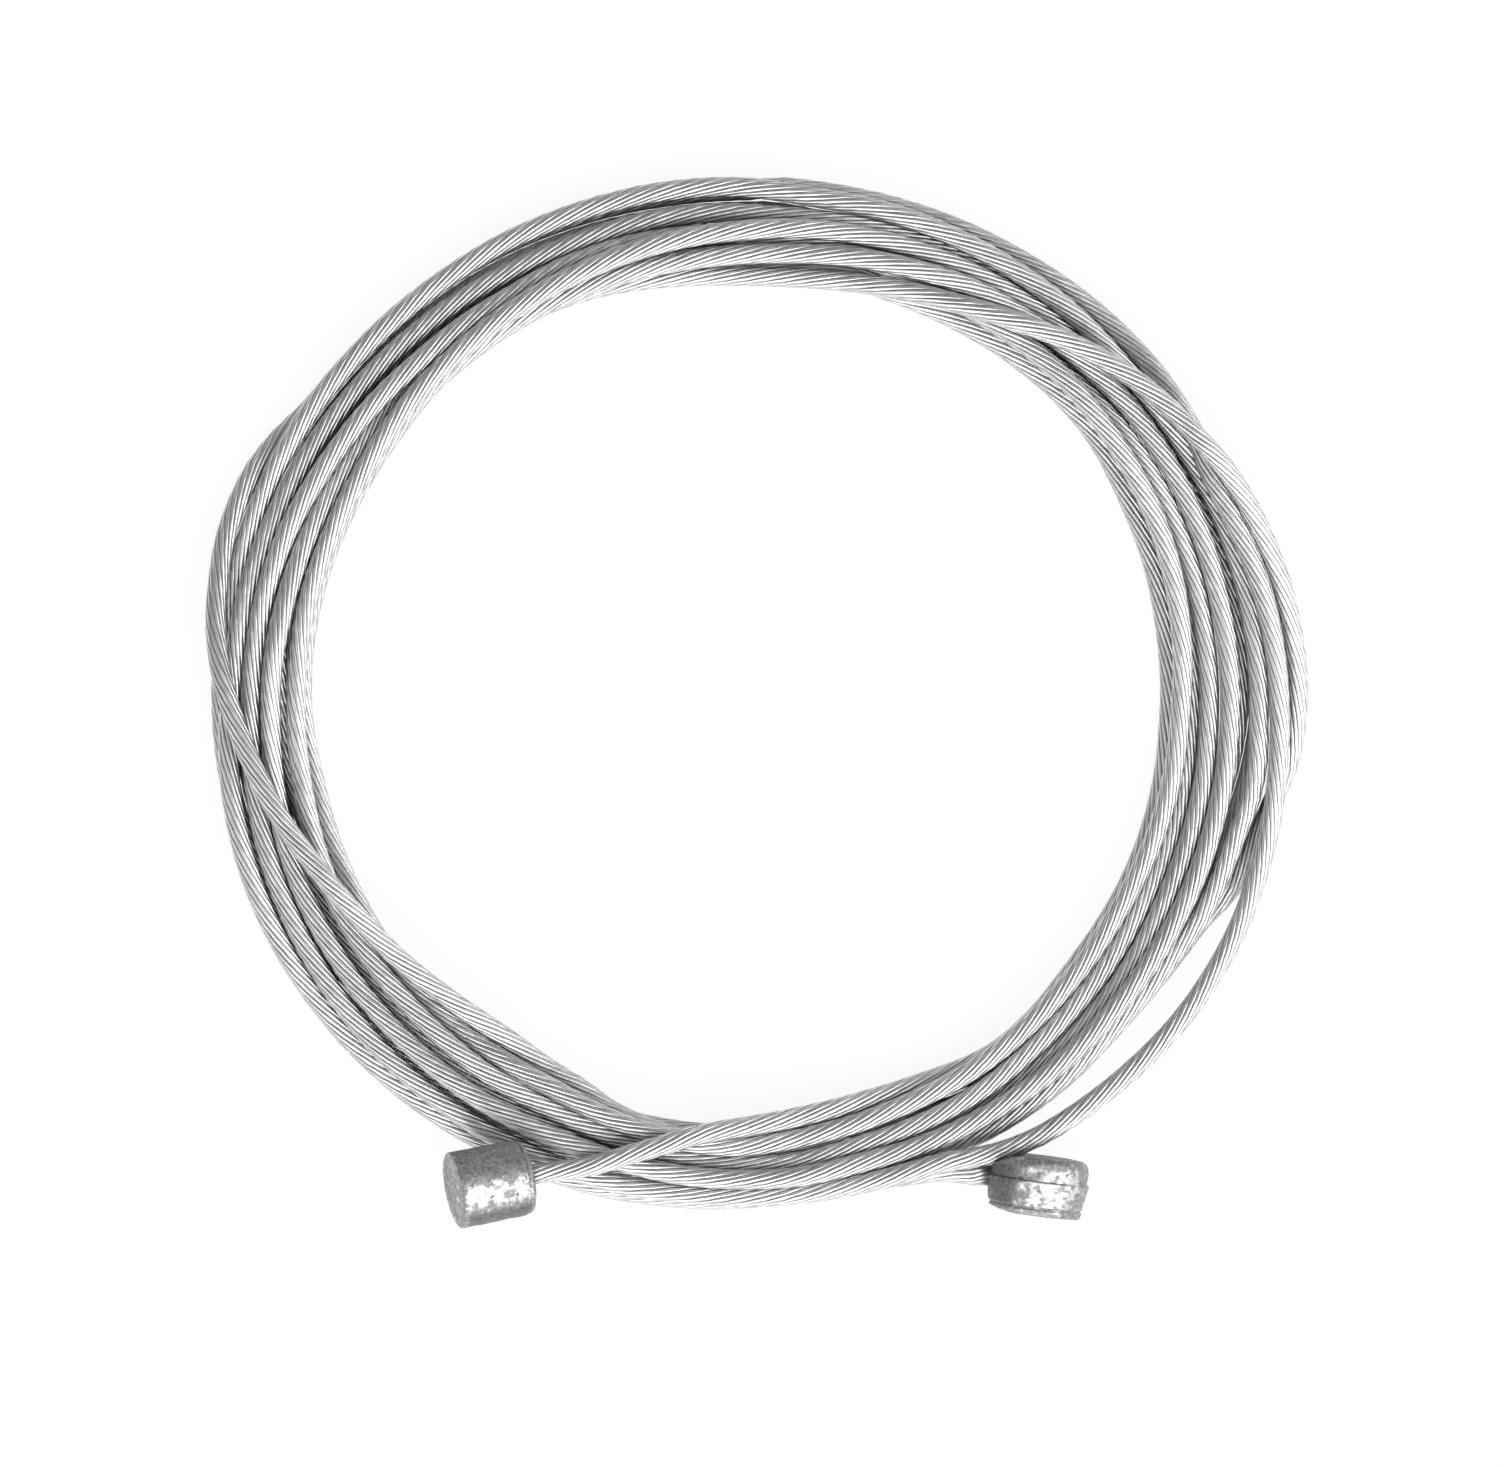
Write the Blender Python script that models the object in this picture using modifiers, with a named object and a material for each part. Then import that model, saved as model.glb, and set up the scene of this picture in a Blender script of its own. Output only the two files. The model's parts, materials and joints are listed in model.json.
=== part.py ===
"""Inner cable for a bicycle gear shifter, wound into a ring, with a cast head on each of its two ends.

Metres, +Z up. The ring lies flat on Z = 0 and the box of the whole part is centred over the origin.
Places around the ring are given as an angle, clockwise from +X as seen from above, and as a share of
the ring's outer half axes, so that the heads and the free ends follow the ring when its size changes.
"""

from math import cos, radians, sin, sqrt

import bpy
import numpy as np
from mathutils import Matrix, Vector

# Driving dimensions
CABLE_DIAMETER = 0.0012
COIL_HALF_LENGTH = 0.0311
COIL_HALF_WIDTH = 0.0292
COIL_BAND = 0.0066
COIL_HEIGHT = 0.0030
CYLINDER_HEAD_DIAMETER = 0.0044
CYLINDER_HEAD_LENGTH = 0.0043
CYLINDER_HEAD_TILT = radians(16.0)
CYLINDER_HEAD_EDGE = 0.0002
BARREL_HEAD_DIAMETER = 0.0058
BARREL_HEAD_LENGTH = 0.0033
BARREL_HEAD_EDGE = 0.0007
FIT_GAP = 0.0003

# The two free ends as (angle in degrees, share of the outer half axes, height). The cylinder end lies over
# the crown, and its heights count from there. The barrel end comes off the outer edge: its shares count from
# where the cable clears the dome, and its heights from the middle of the barrel head.
CYLINDER_END_ROUTE = (
    (113.8, 1.022, 0.00030),
    (112.3, 1.004, 0.00012),
    (108.5, 0.965, 0.0),
    (103.6, 0.911, 0.0),
    (97.0, 0.859, 0.0),
    (91.0, 0.828, 0.0),
)
BARREL_END_ROUTE = (
    (66.3, 0.0359, 0.0),
    (67.8, 0.0199, 0.0),
    (69.1, 0.0049, -0.00003),
    (69.8, 0.0, -0.00006),
)

# Mesh fineness
COIL_STEPS = 72
DOME_STEPS = 5
CORNER_STEPS = 2
HEAD_SIDES = 32
HEAD_EDGE_SEGMENTS = 3
HEAD_EDGE_ANGLE = radians(60.0)
SHARP_ANGLE = radians(50.0)
ROUTE_SAMPLES = 33
TUBE_BEVEL_RESOLUTION = 2
TUBE_POINT_SPACING = 2.0 * CABLE_DIAMETER
WELD_DISTANCE = 0.000001

CABLE_RADIUS = CABLE_DIAMETER / 2.0
CROWN_ROUTE_HEIGHT = COIL_HEIGHT + FIT_GAP + CABLE_RADIUS


def clear_scene():
    """Remove whatever the opened file holds."""
    for old in list(bpy.data.objects):
        bpy.data.objects.remove(old, do_unlink=True)


def new_collection(name):
    """Return a new collection linked to the scene."""
    group = bpy.data.collections.new(name)
    bpy.context.scene.collection.children.link(group)
    return group


def metal(name, color, roughness):
    """Return a plain metal material."""
    material = bpy.data.materials.new(name)
    material.use_nodes = True
    shader = material.node_tree.nodes["Principled BSDF"]
    shader.inputs["Base Color"].default_value = (*color, 1.0)
    shader.inputs["Metallic"].default_value = 1.0
    shader.inputs["Roughness"].default_value = roughness
    return material


def move_to(obj, group, material):
    """Put an object in the part's collection only, with one material."""
    for owner in list(obj.users_collection):
        owner.objects.unlink(obj)
    group.objects.link(obj)
    obj.data.materials.clear()
    obj.data.materials.append(material)


def ring_point(angle_degrees, share, height):
    """Return the point at an angle and a share of the coil's outer half axes."""
    angle = radians(angle_degrees)
    return Vector((COIL_HALF_LENGTH * share * cos(angle), -COIL_HALF_WIDTH * share * sin(angle), height))


def smooth_route(points, spacing):
    """Return evenly spaced points on the Catmull-Rom curve through the route's own points."""
    nodes = np.array([tuple(p) for p in points])
    nodes = np.vstack([2 * nodes[0] - nodes[1], nodes, 2 * nodes[-1] - nodes[-2]])
    t = np.linspace(0.0, 1.0, ROUTE_SAMPLES)[:, None]
    pieces = []
    for a, b, c, d in zip(nodes, nodes[1:], nodes[2:], nodes[3:]):
        square = 2 * a - 5 * b + 4 * c - d
        cube = 3 * b - 3 * c + d - a
        pieces.append(0.5 * (2 * b + (c - a) * t + square * t**2 + cube * t**3))
    fine = np.vstack([pieces[0]] + [piece[1:] for piece in pieces[1:]])
    run = np.concatenate([[0.0], np.cumsum(np.linalg.norm(np.diff(fine, axis=0), axis=1))])
    count = max(2, round(run[-1] / spacing)) + 1
    stations = np.linspace(0.0, run[-1], count)
    return [Vector([np.interp(s, run, fine[:, axis]) for axis in range(3)]) for s in stations]


def coil_profile():
    """Return the band's section: a dome over a flat base with round bottom corners.

    The points run from the crown down the outer side, along the base and up the inner side.
    """
    middle = COIL_HALF_LENGTH - COIL_BAND / 2.0
    half_band = COIL_BAND / 2.0
    dome_height = COIL_HEIGHT - CABLE_RADIUS
    outer = []
    for step in range(DOME_STEPS + 1):
        turn = radians(90.0) * step / DOME_STEPS
        outer.append((half_band * sin(turn), CABLE_RADIUS + dome_height * cos(turn)))
    for step in range(1, CORNER_STEPS + 1):
        turn = radians(90.0) * step / CORNER_STEPS
        outer.append((half_band - CABLE_RADIUS * (1.0 - cos(turn)), CABLE_RADIUS * (1.0 - sin(turn))))
    inner = [(-x, z) for x, z in reversed(outer[1:])]
    return [(middle + x, z) for x, z in outer + inner]


def make_coil(group, material):
    """The wound turns as one turned ring, a little shorter across Y than along X."""
    profile = coil_profile()
    mesh = bpy.data.meshes.new("cable_coil")
    edges = [(i, (i + 1) % len(profile)) for i in range(len(profile))]
    mesh.from_pydata([(x, 0.0, z) for x, z in profile], edges, [])
    turned = bpy.data.objects.new("cable_coil_turning", mesh)
    group.objects.link(turned)
    screw = turned.modifiers.new("Turn", "SCREW")
    screw.axis = "Z"
    screw.angle = radians(360.0)
    screw.steps = COIL_STEPS
    screw.render_steps = COIL_STEPS
    screw.use_merge_vertices = True
    screw.merge_threshold = WELD_DISTANCE
    bpy.context.view_layer.update()
    ring_mesh = bpy.data.meshes.new_from_object(turned.evaluated_get(bpy.context.evaluated_depsgraph_get()))
    bpy.data.objects.remove(turned, do_unlink=True)
    ring_mesh.name = "cable_coil"
    ring_mesh.transform(Matrix.Diagonal((1.0, COIL_HALF_WIDTH / COIL_HALF_LENGTH, 1.0, 1.0)))
    ring_mesh.shade_smooth()
    coil = bpy.data.objects.new("cable_coil", ring_mesh)
    group.objects.link(coil)
    move_to(coil, group, material)
    return coil


def make_tube(name, route, group, material):
    """A stretch of cable as a filled tube on a smooth route."""
    points = smooth_route(route, TUBE_POINT_SPACING)
    curve = bpy.data.curves.new(name, "CURVE")
    curve.dimensions = "3D"
    curve.bevel_depth = CABLE_RADIUS
    curve.bevel_resolution = TUBE_BEVEL_RESOLUTION
    curve.use_fill_caps = True
    curve.resolution_u = 1
    curve.render_resolution_u = 0
    spline = curve.splines.new("POLY")
    spline.points.add(len(points) - 1)
    for target, point in zip(spline.points, points):
        target.co = (*point, 1.0)
    tube = bpy.data.objects.new(name, curve)
    group.objects.link(tube)
    move_to(tube, group, material)
    return tube


def make_head(name, diameter, length, edge, centre, axis, group, material):
    """A cast head: a short cylinder with softened edges, centred on a point and lying along an axis."""
    bpy.ops.mesh.primitive_cylinder_add(vertices=HEAD_SIDES, radius=diameter / 2.0, depth=length)
    head = bpy.context.object
    head.name = name
    head.data.name = name
    head.location = centre
    head.rotation_euler = axis.to_track_quat("Z", "X").to_euler()
    bevel = head.modifiers.new("Edge", "BEVEL")
    bevel.width = edge
    bevel.segments = HEAD_EDGE_SEGMENTS
    bevel.limit_method = "ANGLE"
    bevel.angle_limit = HEAD_EDGE_ANGLE
    head.data.shade_smooth()
    head.data.set_sharp_from_angle(angle=SHARP_ANGLE)
    move_to(head, group, material)
    return head


def cylinder_end_route():
    """Points of the free end that runs over the coil's crown to the cylinder head."""
    crown = CROWN_ROUTE_HEIGHT
    return [ring_point(angle, share, crown + rise) for angle, share, rise in CYLINDER_END_ROUTE]


def clear_share(height):
    """Return the share of the outer half axes at which the cable, at a height, clears the coil's dome.

    The dome's section is half an ellipse, and the cable's middle lies on that ellipse grown by the cable's
    radius and the fit gap.
    """
    clearance = CABLE_RADIUS + FIT_GAP
    half_band = COIL_BAND / 2.0
    rise = (height - CABLE_RADIUS) / (COIL_HEIGHT - CABLE_RADIUS + clearance)
    reach = (half_band + clearance) * sqrt(1.0 - rise**2)
    return (COIL_HALF_LENGTH - half_band + reach) / COIL_HALF_LENGTH


def barrel_end_route():
    """Points of the free end that comes off the coil's outer edge to the barrel head."""
    barrel_middle = BARREL_HEAD_DIAMETER / 2.0
    start = clear_share(barrel_middle + BARREL_END_ROUTE[-1][2])
    return [ring_point(angle, start + share, barrel_middle + rise) for angle, share, rise in BARREL_END_ROUTE]


def make_cylinder_head(route, group, material):
    """The head whose axis is the cable's own: it starts a fit gap past the cable's end."""
    heading = (route[0] - route[1]).normalized()
    level = Vector((heading.x, heading.y, 0.0)).normalized()
    axis = level * cos(CYLINDER_HEAD_TILT) + Vector((0.0, 0.0, sin(CYLINDER_HEAD_TILT)))
    centre = route[0] + axis * (FIT_GAP + CYLINDER_HEAD_LENGTH / 2.0)
    return make_head(
        "cylinder_head",
        CYLINDER_HEAD_DIAMETER,
        CYLINDER_HEAD_LENGTH,
        CYLINDER_HEAD_EDGE,
        centre,
        axis,
        group,
        material,
    )


def make_barrel_head(route, group, material):
    """The head that lies across the cable: the cable meets the middle of its round side."""
    heading = (route[0] - route[1]).normalized()
    level = Vector((heading.x, heading.y, 0.0)).normalized()
    centre = route[0] + level * (FIT_GAP + BARREL_HEAD_DIAMETER / 2.0)
    centre.z = BARREL_HEAD_DIAMETER / 2.0
    axis = Vector((-level.y, level.x, 0.0))
    return make_head(
        "barrel_head",
        BARREL_HEAD_DIAMETER,
        BARREL_HEAD_LENGTH,
        BARREL_HEAD_EDGE,
        centre,
        axis,
        group,
        material,
    )


def centre_over_origin(objects):
    """Parent the pieces to one empty and move it so that their common box is centred over the origin."""
    bpy.context.view_layer.update()
    graph = bpy.context.evaluated_depsgraph_get()
    points = []
    for obj in objects:
        shape = obj.evaluated_get(graph)
        points += [shape.matrix_world @ vertex.co for vertex in shape.to_mesh().vertices]
        shape.to_mesh_clear()
    low = Vector([min(point[axis] for point in points) for axis in range(3)])
    high = Vector([max(point[axis] for point in points) for axis in range(3)])
    frame = bpy.data.objects.new("shift_cable_frame", None)
    objects[0].users_collection[0].objects.link(frame)
    for obj in objects:
        obj.parent = frame
    frame.location = (-(low.x + high.x) / 2.0, -(low.y + high.y) / 2.0, -low.z)
    bpy.context.view_layer.update()


def main():
    clear_scene()
    group = new_collection("shift_cable")
    steel = metal("galvanised_steel_strand", (0.56, 0.56, 0.55), 0.34)
    zinc = metal("cast_zinc", (0.44, 0.44, 0.44), 0.55)
    cylinder_route = cylinder_end_route()
    barrel_route = barrel_end_route()
    pieces = [
        make_coil(group, steel),
        make_tube("cable_end_to_cylinder", cylinder_route, group, steel),
        make_tube("cable_end_to_barrel", barrel_route, group, steel),
        make_cylinder_head(cylinder_route, group, zinc),
        make_barrel_head(barrel_route, group, zinc),
    ]
    centre_over_origin(pieces)


main()
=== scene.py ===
"""Looks of a bicycle shift cable: a twisted steel strand wound into a ring, with a cast head on each end.

Everything is in metres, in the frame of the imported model. The strand is one cord: its turns are laid along
tracks around the ring and settled onto each other, and its surface is twelve round wires twisted around it.
"""

import json
from math import radians, tau

import bpy
import numpy as np
from bpy.props import FloatProperty, FloatVectorProperty, IntProperty, PointerProperty
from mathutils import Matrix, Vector


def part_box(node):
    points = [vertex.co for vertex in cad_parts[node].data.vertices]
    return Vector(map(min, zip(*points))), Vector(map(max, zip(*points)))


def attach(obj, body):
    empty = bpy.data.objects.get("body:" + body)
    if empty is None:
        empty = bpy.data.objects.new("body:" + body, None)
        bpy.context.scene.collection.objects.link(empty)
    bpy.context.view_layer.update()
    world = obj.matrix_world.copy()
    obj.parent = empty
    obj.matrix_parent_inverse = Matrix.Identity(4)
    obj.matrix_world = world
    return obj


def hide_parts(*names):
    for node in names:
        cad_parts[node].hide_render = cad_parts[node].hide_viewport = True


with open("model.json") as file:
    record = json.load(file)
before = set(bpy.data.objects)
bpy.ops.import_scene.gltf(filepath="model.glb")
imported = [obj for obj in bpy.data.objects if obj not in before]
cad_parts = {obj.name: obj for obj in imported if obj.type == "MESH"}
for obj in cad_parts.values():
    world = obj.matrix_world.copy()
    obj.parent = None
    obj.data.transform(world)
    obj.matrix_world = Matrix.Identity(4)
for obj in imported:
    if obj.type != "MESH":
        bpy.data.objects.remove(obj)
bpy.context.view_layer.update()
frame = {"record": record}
COIL_LOW, COIL_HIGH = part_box("cable_coil")
RING_CENTRE = (COIL_LOW + COIL_HIGH) / 2.0
MOUNTS = {mount["name"]: mount for mount in frame["record"]["mounts"]}

bl_info = {
    "name": "Shift cable",
    "version": (1, 0, 0),
    "blender": (4, 5, 0),
    "location": "View3D > Sidebar > Shift cable",
    "description": "Makes the twisted strand, the two cast heads and the studio of a shift cable",
    "category": "Add Mesh",
}

# Half axes of the ring's outermost edge, of which the tracks give shares
RING_HALF_LENGTH = 0.03151
RING_HALF_WIDTH = 0.02957
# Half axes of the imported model's solid ring, height of a strand's middle that lies on its crown, and
# height of the barrel head's middle
COIL_HALF_LENGTH = 0.0311
COIL_HALF_WIDTH = 0.0292
CROWN_ROUTE_HEIGHT = 0.0039
BARREL_MIDDLE = 0.0029
# The free ends' points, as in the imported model: angle clockwise from +X in degrees, share of the solid
# ring's half axes, and height above the crown's strand or above the barrel head's middle
CYLINDER_END_ROUTE = (
    (113.8, 1.022, 0.0003),
    (112.3, 1.004, 0.00012),
    (108.5, 0.968, 0.0),
    (103.6, 0.916, 0.0),
    (97.0, 0.866, 0.0),
    (91.0, 0.842, 0.0),
)
BARREL_END_ROUTE = (
    (66.3, 1.026, 0.0),
    (67.8, 1.009, 0.0),
    (69.1, 0.996, -0.00003),
    (69.8, 0.989, -0.00006),
)

# Each turn's track: angle clockwise from +X in degrees, share of the ring's half axes, level (0 lies on
# the floor, each further level one strand higher), and how firmly the track is held (1 where the turn
# lies open, near 0 where it is buried under others and only goes where there is room)
TURNS = (
    # From the barrel head down under everything, then out over the top
    (
        (72, 0.97, 1.5, 1), (75, 0.963, 1.2, 1), (78, 0.951, 0.9, 0.6), (84, 0.937, 0.7, 0.3),
        (92, 0.93, 0.3, 0.1), (160, 0.88, 0, 0.05), (215, 0.858, 0, 0.6), (235, 0.856, 0.4, 0.8),
        (247, 0.848, 1.2, 1), (250, 0.843, 1.6, 1), (253, 0.837, 2, 1), (258, 0.829, 2.5, 1),
        (263, 0.821, 2.8, 1), (268, 0.813, 3, 1), (273, 0.811, 3, 1), (278, 0.813, 3, 1),
        (283, 0.818, 3, 1), (288, 0.826, 3, 1), (293, 0.836, 3, 1), (298, 0.848, 3, 1),
        (308, 0.88, 3, 1), (318, 0.915, 3, 1), (323, 0.928, 3, 1), (328, 0.937, 3, 1),
        (333, 0.949, 3, 1), (338, 0.961, 3, 1), (343, 0.969, 2.8, 1), (348, 0.976, 2.6, 1),
        (353, 0.98, 2.4, 1),
    ),
    # Dives under the bridging strand, hidden along the bottom, outermost at the top left
    (
        (0, 0.983, 2, 1), (5, 0.98, 1.7, 1), (8, 0.975, 1.3, 1), (11, 0.964, 1, 1),
        (14, 0.955, 0.8, 1), (18, 0.947, 0.4, 1), (21, 0.942, 0.2, 1), (23.5, 0.938, 0, 1),
        (25, 0.93, 0, 1), (27, 0.917, 0, 1), (30, 0.903, 0, 0.8), (36, 0.897, 0, 0.4),
        (60, 0.905, 0, 0.15), (80, 0.918, 0, 0.15), (105, 0.94, 0, 0.4), (125, 0.95, 0, 0.1),
        (160, 0.965, 0, 0.3), (172, 0.971, 0.3, 0.7), (185, 0.972, 0.5, 1), (193, 0.973, 0.8, 1),
        (203, 0.978, 1.5, 1), (213, 0.98, 2.3, 1), (228, 0.98, 2.5, 1), (233, 0.983, 2.5, 1),
        (238, 0.985, 2.5, 1), (243, 0.988, 2.5, 1), (258, 0.989, 2.5, 1), (263, 0.987, 2.5, 1),
        (268, 0.983, 2.5, 1), (273, 0.973, 2.5, 1), (278, 0.963, 2.5, 1), (288, 0.957, 2.5, 1),
        (303, 0.943, 2, 1), (313, 0.933, 1.5, 1), (323, 0.924, 0.9, 0.6), (333, 0.918, 0.5, 0.6),
        (343, 0.915, 0.6, 1), (353, 0.913, 0.7, 1),
    ),
    # Outermost along the bottom and the lower left, then between others round the top
    (
        (3, 0.913, 0.8, 1), (8, 0.919, 1, 1), (13, 0.918, 1, 1), (18, 0.911, 1, 1),
        (28, 0.912, 1, 1), (33, 0.906, 1, 1), (43, 0.909, 1, 1), (48, 0.916, 1, 1),
        (53, 0.925, 1, 1), (62, 0.936, 1, 1), (70, 0.943, 0.4, 0.6), (75, 0.948, 0.1, 0.8),
        (80, 0.954, 0, 1), (85, 0.962, 0.1, 1), (90, 0.972, 0.2, 1), (95, 0.98, 0.3, 1),
        (103, 0.988, 0.4, 1), (108, 0.994, 0.5, 1), (128, 0.997, 1, 1), (148, 0.988, 1, 1),
        (158, 0.982, 1, 1), (173, 0.966, 0.6, 0.6), (183, 0.951, 1, 1), (193, 0.946, 1.2, 1),
        (203, 0.939, 1.4, 1), (213, 0.937, 1.5, 1), (223, 0.935, 1.5, 1), (238, 0.934, 1.5, 1),
        (243, 0.933, 1.5, 1), (258, 0.934, 1.5, 1), (263, 0.933, 1.4, 1), (268, 0.929, 1.3, 1),
        (273, 0.924, 1, 1), (280, 0.922, 0.6, 0.4), (290, 0.918, 0, 0.1),
    ),
    # Buried all the way round
    (
        (0, 0.885, 0, 0.1), (40, 0.872, 0, 0.1), (80, 0.872, 0, 0.15), (130, 0.9, 0, 0.1),
        (160, 0.935, 0, 0.4), (185, 0.938, 0, 0.4), (215, 0.938, 0, 0.4), (240, 0.938, 0, 0.5),
        (262, 0.942, 0, 0.6), (270, 0.94, 0, 0.6), (278, 0.922, 0, 0.5), (286, 0.885, 0, 0.4),
        (293, 0.88, 0, 0.4), (303, 0.87, 0.1, 0.4), (318, 0.845, 0.2, 0.4), (333, 0.815, 0.3, 0.3),
        (350, 0.795, 0.4, 0.6),
    ),
    # Low inside on the right, then in the middle of the band
    (
        (5, 0.79, 0.5, 1), (18, 0.8, 0.8, 1), (28, 0.81, 1, 1), (43, 0.833, 1, 1),
        (53, 0.848, 1.2, 1), (62, 0.867, 1.3, 1), (73, 0.884, 1.5, 1), (88, 0.903, 1.5, 1),
        (98, 0.9, 1.5, 1), (108, 0.886, 1.5, 1), (118, 0.875, 1.5, 1), (128, 0.871, 1.4, 1),
        (138, 0.865, 1.2, 1), (148, 0.857, 0.9, 1), (158, 0.849, 0.8, 0.7), (168, 0.841, 0.8, 1),
        (178, 0.837, 0.9, 1), (188, 0.835, 1, 1), (208, 0.833, 1.3, 1), (213, 0.835, 1.4, 1),
        (218, 0.841, 1.6, 1), (228, 0.853, 1.7, 1), (238, 0.866, 1.7, 1), (243, 0.871, 1.7, 1),
        (248, 0.876, 1.7, 1), (258, 0.888, 1.7, 1), (268, 0.897, 1.7, 1), (283, 0.91, 1.7, 1),
        (298, 0.906, 1.3, 1), (308, 0.903, 0.9, 1), (333, 0.891, 0.4, 0.6), (350, 0.887, 0.2, 0.8),
    ),
    # Buried, then open along the right
    (
        (3, 0.886, 0.1, 0.4), (13, 0.88, 0, 0.2), (30, 0.855, 0, 0.15), (50, 0.84, 0, 0.15),
        (70, 0.832, 0, 0.15), (88, 0.842, 0, 0.3), (97, 0.862, 0, 0.5), (105, 0.86, 0, 0.5),
        (112, 0.848, 0, 0.4), (120, 0.838, 0, 0.3), (135, 0.832, 0, 0.3), (150, 0.836, 0, 0.3),
        (180, 0.865, 0, 0.3), (215, 0.915, 1, 0.3), (235, 0.915, 1, 0.3), (250, 0.905, 0.8, 0.3),
        (270, 0.885, 0.3, 0.3), (290, 0.855, 0.3, 0.3), (305, 0.846, 0.8, 1), (313, 0.84, 1, 1),
        (323, 0.837, 1.1, 1), (328, 0.834, 1.2, 1), (343, 0.828, 1.2, 1), (353, 0.822, 1.2, 1),
    ),
    # Comes up inside at the lower left and crosses the whole band outwards
    (
        (0, 0.822, 1.2, 1), (13, 0.829, 1.2, 1), (28, 0.838, 1.2, 1), (43, 0.86, 1, 1),
        (53, 0.875, 0.6, 0.6), (62, 0.885, 0.2, 0.3), (78, 0.89, 0, 0.1), (90, 0.88, 0, 0.2),
        (98, 0.872, 0.3, 0.3), (103, 0.862, 0.6, 0.5), (108, 0.848, 0.9, 0.8), (111, 0.834, 1, 1),
        (113, 0.826, 1, 1), (118, 0.82, 1, 1), (123, 0.816, 1, 1), (128, 0.814, 1.2, 1),
        (133, 0.814, 1.6, 1), (138, 0.819, 2, 1), (143, 0.827, 2.6, 1), (148, 0.836, 3, 1),
        (153, 0.849, 3, 1), (158, 0.865, 3, 1), (163, 0.886, 3, 1), (168, 0.906, 3, 1),
        (173, 0.927, 3, 1), (178, 0.949, 3, 1), (183, 0.971, 3, 1), (188, 0.99, 3, 1),
        (193, 1.001, 2.8, 1), (198, 1.01, 2.4, 1), (203, 1.011, 1.8, 1), (206, 1.009, 1.4, 1),
        (208, 1.003, 1.1, 1), (210, 0.997, 0.8, 1), (212, 0.989, 0.5, 1), (215, 0.98, 0.2, 0.8),
        (219, 0.978, 0, 0.5), (240, 0.982, 0, 0.5), (262, 0.973, 0, 0.7), (268, 0.973, 0.2, 0.8),
        (273, 0.984, 0.4, 0.8), (278, 0.982, 0.5, 1), (288, 0.978, 0.9, 1), (293, 0.975, 1.1, 1),
        (298, 0.971, 1.3, 1), (303, 0.966, 1.4, 1), (308, 0.961, 1.4, 1), (313, 0.954, 1.5, 1),
        (318, 0.947, 1.5, 1), (323, 0.94, 1.5, 1), (328, 0.933, 1.5, 1), (333, 0.922, 1.6, 1),
        (338, 0.925, 1.8, 1), (348, 0.935, 2.2, 1),
    ),
    # Bridges the outer right side, then the bottom and the left, and goes inwards at the top
    (
        (0, 0.946, 2.7, 1), (8, 0.955, 3, 1), (13, 0.962, 3.1, 1), (23, 0.976, 3.2, 1),
        (28, 0.983, 3.2, 1), (43, 0.993, 3.2, 1), (58, 0.993, 3.2, 1), (62, 0.988, 3.2, 1),
        (68, 0.97, 3.2, 1), (73, 0.957, 3, 1), (78, 0.951, 2.6, 1), (83, 0.955, 2.2, 1),
        (88, 0.961, 2, 1), (98, 0.97, 2, 1), (108, 0.977, 2, 1), (128, 0.971, 2, 1),
        (138, 0.964, 1.9, 1), (148, 0.953, 1.7, 1), (158, 0.942, 1.2, 1), (178, 0.918, 1.3, 1),
        (198, 0.904, 1.5, 1), (213, 0.894, 1.5, 1), (223, 0.888, 1.5, 1), (228, 0.885, 1.4, 1),
        (238, 0.885, 1.3, 1), (248, 0.898, 1, 1), (258, 0.908, 0.5, 0.5), (278, 0.89, 0.3, 0.2),
        (288, 0.868, 0.5, 0.4), (300, 0.845, 1.3, 0.8), (313, 0.829, 1.5, 1), (323, 0.815, 1.5, 1),
        (333, 0.803, 1.5, 1), (343, 0.79, 1.5, 1), (353, 0.778, 1.5, 1),
    ),
    # Innermost on the right, open along the bottom, low on the left
    (
        (3, 0.77, 1.5, 1), (28, 0.775, 1.5, 1), (33, 0.779, 1.5, 1), (43, 0.791, 1.7, 1),
        (53, 0.806, 1.8, 1), (58, 0.815, 1.9, 1), (63, 0.823, 2, 1), (68, 0.829, 2.1, 1),
        (73, 0.836, 2.2, 1), (78, 0.845, 2.3, 1), (83, 0.855, 2.4, 1), (88, 0.866, 2.4, 1),
        (93, 0.879, 2.4, 1), (108, 0.862, 2.2, 1), (118, 0.843, 2, 1), (128, 0.838, 1.8, 1),
        (138, 0.838, 1.3, 1), (143, 0.838, 1, 0.6), (150, 0.836, 0.6, 0.7), (158, 0.83, 0.5, 1),
        (168, 0.827, 0.6, 1), (188, 0.828, 0.7, 1), (208, 0.829, 1, 1), (213, 0.832, 1, 1),
        (218, 0.836, 1.1, 1), (228, 0.845, 1.2, 1), (238, 0.848, 1.3, 1), (243, 0.849, 1.4, 1),
        (258, 0.85, 1.5, 1), (268, 0.852, 1.5, 1), (278, 0.859, 1.5, 1), (283, 0.864, 1.4, 1),
        (300, 0.87, 0.8, 0.5), (318, 0.875, 1, 1), (328, 0.868, 1.3, 1), (348, 0.858, 1.5, 1),
    ),
    # In the middle of the band, then under it and out at the inner edge at the top
    (
        (0, 0.859, 1.6, 1), (13, 0.864, 1.6, 1), (28, 0.874, 1.7, 1), (43, 0.888, 1.8, 1),
        (53, 0.9, 2, 1), (62, 0.91, 2, 1), (68, 0.916, 2, 1), (78, 0.924, 2, 1),
        (88, 0.934, 2, 1), (98, 0.935, 2, 1), (108, 0.93, 2, 1), (118, 0.926, 2, 1),
        (128, 0.923, 2, 1), (138, 0.919, 2, 1), (148, 0.912, 1.8, 1), (158, 0.904, 1.1, 0.6),
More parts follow.
